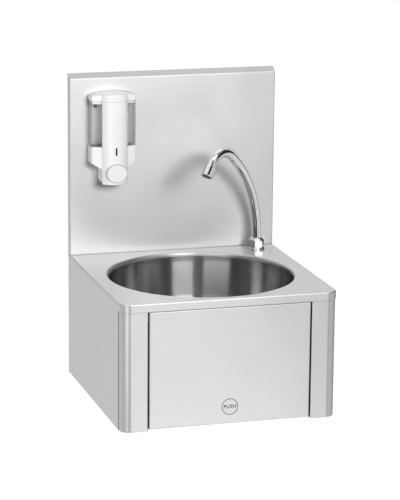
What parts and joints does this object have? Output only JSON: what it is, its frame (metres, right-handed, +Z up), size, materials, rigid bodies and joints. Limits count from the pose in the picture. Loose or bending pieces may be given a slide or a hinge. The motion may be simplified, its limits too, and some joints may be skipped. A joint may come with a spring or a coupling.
{
  "type": "hand wash sink",
  "caption": "Wall-hung stainless hand wash sink with round bowl, tall splashback, swivel swan-neck spout, knee-operated front panel and push-button soap dispenser.",
  "frame": {"origin": "centre of the two wall-fixing holes, on the wall plane, 45 mm below the deck top", "axes": "+Y into the wall along the fixing holes, -Y towards the user, +Z up, +X to the user's right"},
  "size_m": [0.4, 0.4, 0.576],
  "materials": {
    "stainless": "brushed stainless sheet",
    "stainless_bowl": "satin pressed bowl",
    "chrome": "polished chrome",
    "fastener_steel": "plain steel",
    "spring_steel": "drawn wire",
    "brass": "machined",
    "copper": "drawn tube",
    "rubber": "matt",
    "nylon": "natural",
    "fibre": "pressed fibre",
    "white_plastic": "gloss moulded",
    "grey_plastic": "moulded",
    "dark_plastic": "moulded",
    "smoky_plastic": "translucent moulded"
  },
  "bodies": {
    "basin": {"deck": "stainless", "bowl": "stainless_bowl", "splashback": "stainless", "side_panel_left": "stainless", "side_panel_right": "stainless", "corner_post_left": "stainless", "corner_post_right": "stainless", "wall_rail": "stainless", "valve_rail": "stainless", "hinge_pin_left": "fastener_steel", "hinge_pin_right": "fastener_steel", "travel_screw_left": "fastener_steel", "travel_screw_right": "fastener_steel", "valve_body": "brass", "valve_locknut": "brass", "valve_spring": "spring_steel", "mixing_tee": "brass", "check_valve_cold": "brass", "check_valve_hot": "brass", "outlet_pipe": "copper", "pipe_nut_lower": "brass", "pipe_nut_upper": "brass", "spout_shank": "brass", "spout_oring": "rubber", "spout_base": "chrome", "spout_collar": "chrome", "shank_washer": "fibre", "shank_nut": "brass", "waste_strainer": "chrome", "strainer_screw": "fastener_steel", "upper_seal": "rubber", "lower_seal": "rubber", "waste_body": "grey_plastic", "soap_backplate": "white_plastic", "soap_screws": "fastener_steel", "soap_container": "smoky_plastic", "soap_front": "white_plastic", "slot_insert": "dark_plastic", "pump_spring": "spring_steel", "pump_body": "grey_plastic", "soap_nozzle": "grey_plastic"},
    "knee_panel": {"knee_panel": "stainless", "hinge_bush_left": "nylon", "hinge_bush_right": "nylon", "striker_pad": "rubber"},
    "valve_plunger": {"valve_plunger": "fastener_steel"},
    "spout": {"spout": "chrome", "aerator_housing": "chrome", "aerator_insert": "dark_plastic"},
    "soap_lid": {"soap_lid": "white_plastic"},
    "soap_button": {"soap_button": "white_plastic", "pump_piston": "grey_plastic"}
  },
  "joints": [
    {"name": "knee_push", "type": "hinge", "parent": "basin", "child": "knee_panel", "pos_m": [0, -0.386, 0.015], "axis": [1, 0, 0], "range_deg": [0, 4], "stiffness_Nm_per_rad": 30, "springref_deg": -2.86},
    {"name": "valve_stroke", "type": "slide", "parent": "basin", "child": "valve_plunger", "axis": [0, 1, 0], "range_m": [0, 0.0118], "stiffness_N_per_m": 400, "springref_m": -0.008, "deforming": ["valve_spring"]},
    {"name": "spout_swivel", "type": "hinge", "parent": "basin", "child": "spout", "pos_m": [0.1575, -0.049, 0.045], "axis": [0, 0, 1], "range_deg": [-34, 110]},
    {"name": "soap_lid_lift", "type": "slide", "parent": "basin", "child": "soap_lid", "axis": [0, 0, 1], "range_m": [0, 0.03]},
    {"name": "soap_button_press", "type": "slide", "parent": "basin", "child": "soap_button", "axis": [0, 1, 0], "range_m": [0, 0.008], "stiffness_N_per_m": 500, "springref_m": -0.004, "deforming": ["pump_spring"]}
  ],
  "couplings": [
    {"joint": "valve_stroke", "follows": "knee_push", "m_per_rad": 0.168}
  ]
}
